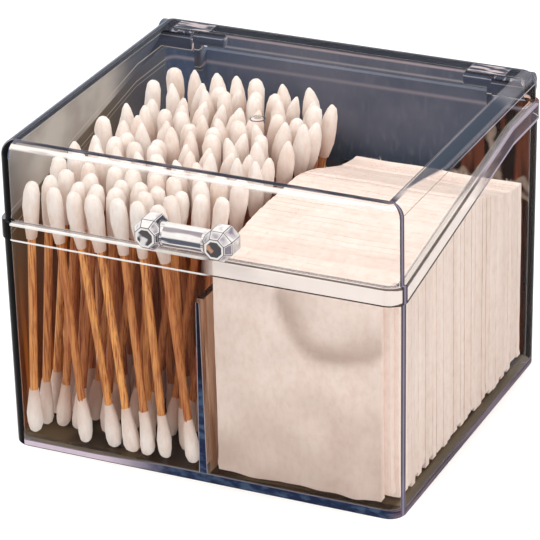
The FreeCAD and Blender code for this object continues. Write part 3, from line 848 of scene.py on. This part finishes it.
def evened(boxes):
    """Boxes of a stack with each pad's sides and top drawn towards its neighbours'."""
    calm = []
    for i, (node, low, high) in enumerate(boxes):
        near = boxes[max(0, i - 3):i + 4]
        lows, highs = (middle_of([box[corner] for box in near]) for corner in (1, 2))
        low = Vector((low.x + 0.8 * (lows.x - low.x), low.y, low.z))
        high = Vector((high.x + 0.8 * (highs.x - high.x), high.y, high.z + 0.85 * (highs.z - high.z)))
        calm.append((node, low, high))
    return calm


def add_fibres(group, low, high, rng, count):
    """Loose cotton fibres that stand off a pad's top edge."""
    for _ in range(count):
        root = Vector((rng.uniform(low.x + 1 * MM, high.x - 1 * MM), rng.uniform(low.y, high.y),
                       high.z - 0.3 * MM))
        lean = Vector((rng.uniform(-1, 1), rng.uniform(-1, 1), rng.uniform(0.5, 1.4))).normalized()
        curl = Vector((rng.uniform(-1, 1), rng.uniform(-1, 1), -0.3))
        reach = rng.uniform(0.9, 2.2) * MM
        strand = lathe([(0.045 * MM, 0), (0.04 * MM, reach / 2), (0.015 * MM, reach)], 3)
        for vertex in strand.verts:
            vertex.co += curl * (vertex.co.z / reach) ** 2 * 0.5 * MM
        shape = stored(strand, "fibre_pattern")
        add_copy(group, shape, turned_to(lean, root))
        bpy.data.meshes.remove(shape)


def dress_pads(wool):
    """The stack of pressed pads, a node at a time, with the front one creased and the last ones fluffy."""
    rng = random.Random(3)
    boxes = evened(pad_boxes())
    ys = [box[1].y for box in boxes]
    narrow = dict(zip(ys, NARROWED))
    before = {y: front[2].z for y, front in zip(ys[1:], boxes)}
    behind = {y: back[2].z for y, back in zip(ys, boxes[1:])}
    for node in sorted({box[0] for box in boxes}, key=lambda name: int(name.rsplit("_", 1)[1])):
        group = bmesh.new()
        shade = group.verts.layers.float.new("shade")
        for _, low, high in (box for box in boxes if box[0] == node):
            front, last = low.y == ys[0], low.y > ys[-4]
            high = high - Vector((narrow.get(low.y, 0.0), 0, 0))
            steps = [limited(high.z - side.get(low.y, high.z), 0.0, 2.5 * MM) for side in (before, behind)]
            lift = (1.2 if front else rng.uniform(0.2, 2.2)) * MM
            pinch = rng.choice((0.0, 0.0, 0.01, 0.01, 0.05))
            cells = (44, 52) if front else (22, 24)
            shape = stored(pad_shape(low, high, rng, cells, lift, pinch, steps), "pad_pattern")
            fresh = add_copy(group, shape, Matrix.Identity(4))
            bpy.data.meshes.remove(shape)
            tint = rng.choice((0.0, 0.0, 0.04, 0.1))
            for vertex in fresh:
                vertex[shade] = tint
            if front:
                fold_front(fresh, low.y, shade)
            add_fibres(group, low, high, rng, 90 if last else 4 if low.y < 0 else 9)
        piece = dressed(node, group, "base", [wool], 75)


def dress_handle(finish):
    """The handle: facets with pale borders and dark seams, and on each knob a ringed round table."""
    rng = random.Random(9)
    bm = merged("handle")
    bmesh.ops.dissolve_limit(bm, angle_limit=radians(2), verts=bm.verts, edges=bm.edges)
    facet = bm.faces.layers.float.new("facet")

    def across(face):
        return face.calc_center_median().x

    def towards_front(face):
        return face.normal.dot(Vector((-0.5, -0.8, -0.2))) + face.calc_area() / MM / MM * 0.02

    knobs = [f for f in bm.faces if abs(across(f)) > KNOB_START and f.calc_area() > 1.2 * MM * MM]
    tables = [max((f for f in knobs if across(f) * side > 0), key=towards_front) for side in (-1, 1)]
    for face in bm.faces:
        lit = 0.62 + 0.2 * face.normal.z - 0.15 * face.normal.x
        if across(face) >= 0:
            lit += 0.12
        elif face.normal.x > 0.25 and face.normal.z > 0.1:
            lit = 0.36
        face[facet] = limited(lit + rng.uniform(-0.42, 0.26), 0.0, 0.8)
    for face in tables:
        face[facet] = TABLE_MARK
    cuts = [e for e in bm.edges if e.calc_face_angle(0.0) > radians(20)
            and abs(sum(v.co.x for v in e.verts) / 2) > KNOB_START - 0.1 * MM]
    eased = bmesh.ops.bevel(bm, geom=cuts, offset=0.12 * MM, segments=1, profile=0.5, affect="EDGES",
                            material=-1)
    for face in eased["faces"]:
        face[facet] = SEAM_MARK
    flats = [f for f in bm.faces if f[facet] > SEAM_MARK + 0.1 and abs(across(f)) > KNOB_START]
    for share, of_table in ((0.26, False), (0.6, True)):
        chosen = [f for f in flats if (f[facet] < 0) == of_table]
        border = bmesh.ops.inset_individual(bm, faces=chosen, thickness=share * MM)
        for face in border["faces"]:
            face[facet] = BORDER_MARK
    dressed("handle", bm, "lid", [finish], 16)


# ---------------------------------------------------------------- studio

def studio():
    """Plain pale floor, soft plain light, and a world that shows white."""
    scene = bpy.context.scene
    scene.view_settings.view_transform = "Standard"
    world = bpy.data.worlds.new("studio")
    scene.world = world
    world.use_nodes = True
    world.node_tree.nodes.clear()
    add = node_graph(world.node_tree)
    path = add("ShaderNodeLightPath")
    seen = maths("MAXIMUM", path["Is Glossy Ray"], path["Is Transmission Ray"])
    seen = maths("MAXIMUM", path["Is Camera Ray"], seen)
    light = add("ShaderNodeBackground", {"Color": (1, 1, 1, 1), "Strength": seen * 0.5 + 0.5})
    add("ShaderNodeOutputWorld", {"Surface": light["Background"]})

    finish, shader, add = material("pale_floor")
    glow = add("ShaderNodeLightPath")["Is Camera Ray"] * 0.25
    put(shader, {"Base Color": (0.9, 0.9, 0.9, 1), "Roughness": 0.9, "Emission Color": (1, 1, 1, 1),
                 "Emission Strength": glow})
    bm = bmesh.new()
    bmesh.ops.create_grid(bm, x_segments=1, y_segments=1, size=3.0)
    bmesh.ops.translate(bm, vec=(0, 0, -0.2 * MM), verts=bm.verts)
    mesh = stored(bm, "floor")
    mesh.materials.append(finish)
    floor = bpy.data.objects.new("floor", mesh)
    scene.collection.objects.link(floor)

    lamps = (("key", (-0.25, -0.5, 0.8), 0.5, 2.6), ("fill", (0.75, -0.35, 0.45), 0.6, 2.1),
             ("top", (0.05, 0.1, 0.95), 0.5, 3.6))
    for name, place, size, power in lamps:
        lamp = bpy.data.lights.new(name, "AREA")
        lamp.size = size
        lamp.energy = power
        holder = bpy.data.objects.new(name, lamp)
        holder.location = place
        aim = Vector((0, 0, 0.045)) - Vector(place)
        holder.rotation_euler = aim.to_track_quat("-Z", "Y").to_euler()
        scene.collection.objects.link(holder)


def camera():
    """Long lens at the product's left front, a little above it."""
    azimuth, elevation, roll = (radians(angle) for angle in (25.04, 25.37, -1.30))
    distance = 0.89707
    target = Vector((-2.23 * MM, 0, 39.8 * MM))
    back = Vector((math.sin(azimuth) * math.cos(elevation), -math.cos(azimuth) * math.cos(elevation),
                   math.sin(elevation)))
    view = bpy.data.cameras.new("view")
    view.lens = 218.0
    view.sensor_width = 36.0
    view.clip_start = 0.01
    holder = bpy.data.objects.new("view", view)
    turn = (-back).to_track_quat("-Z", "Y").to_matrix().to_4x4() @ Matrix.Rotation(roll, 4, "Z")
    holder.matrix_world = Matrix.Translation(target + back * distance) @ turn
    bpy.context.scene.collection.objects.link(holder)
    bpy.context.scene.camera = holder


camera()
studio()

inside = smoked_inside("smoked_inside")
dress_shell("base_tray", "base", inside,
            clear_plastic("clear_tray", TRAY_HIGH.x, TRAY_HIGH.y, TRAY_CORNER, tray_lines))
dress_shell("lid", "lid", inside, clear_plastic("clear_lid", LID_HIGH.x, -LID_LOW.y, LID_CORNER, lid_lines))
dress_handle(crystal("crystal_handle"))
dress_swabs(birch("birch_stick"), cotton("wound_cotton", srgb(255, 246, 238), srgb(243, 220, 205),
                                         srgb(196, 148, 120), 900.0, 0.35, 0.6))
dress_pads(cotton("pressed_cotton", srgb(254, 234, 222), srgb(240, 215, 201), srgb(146, 112, 92),
                  520.0, 0.7, 0.5))
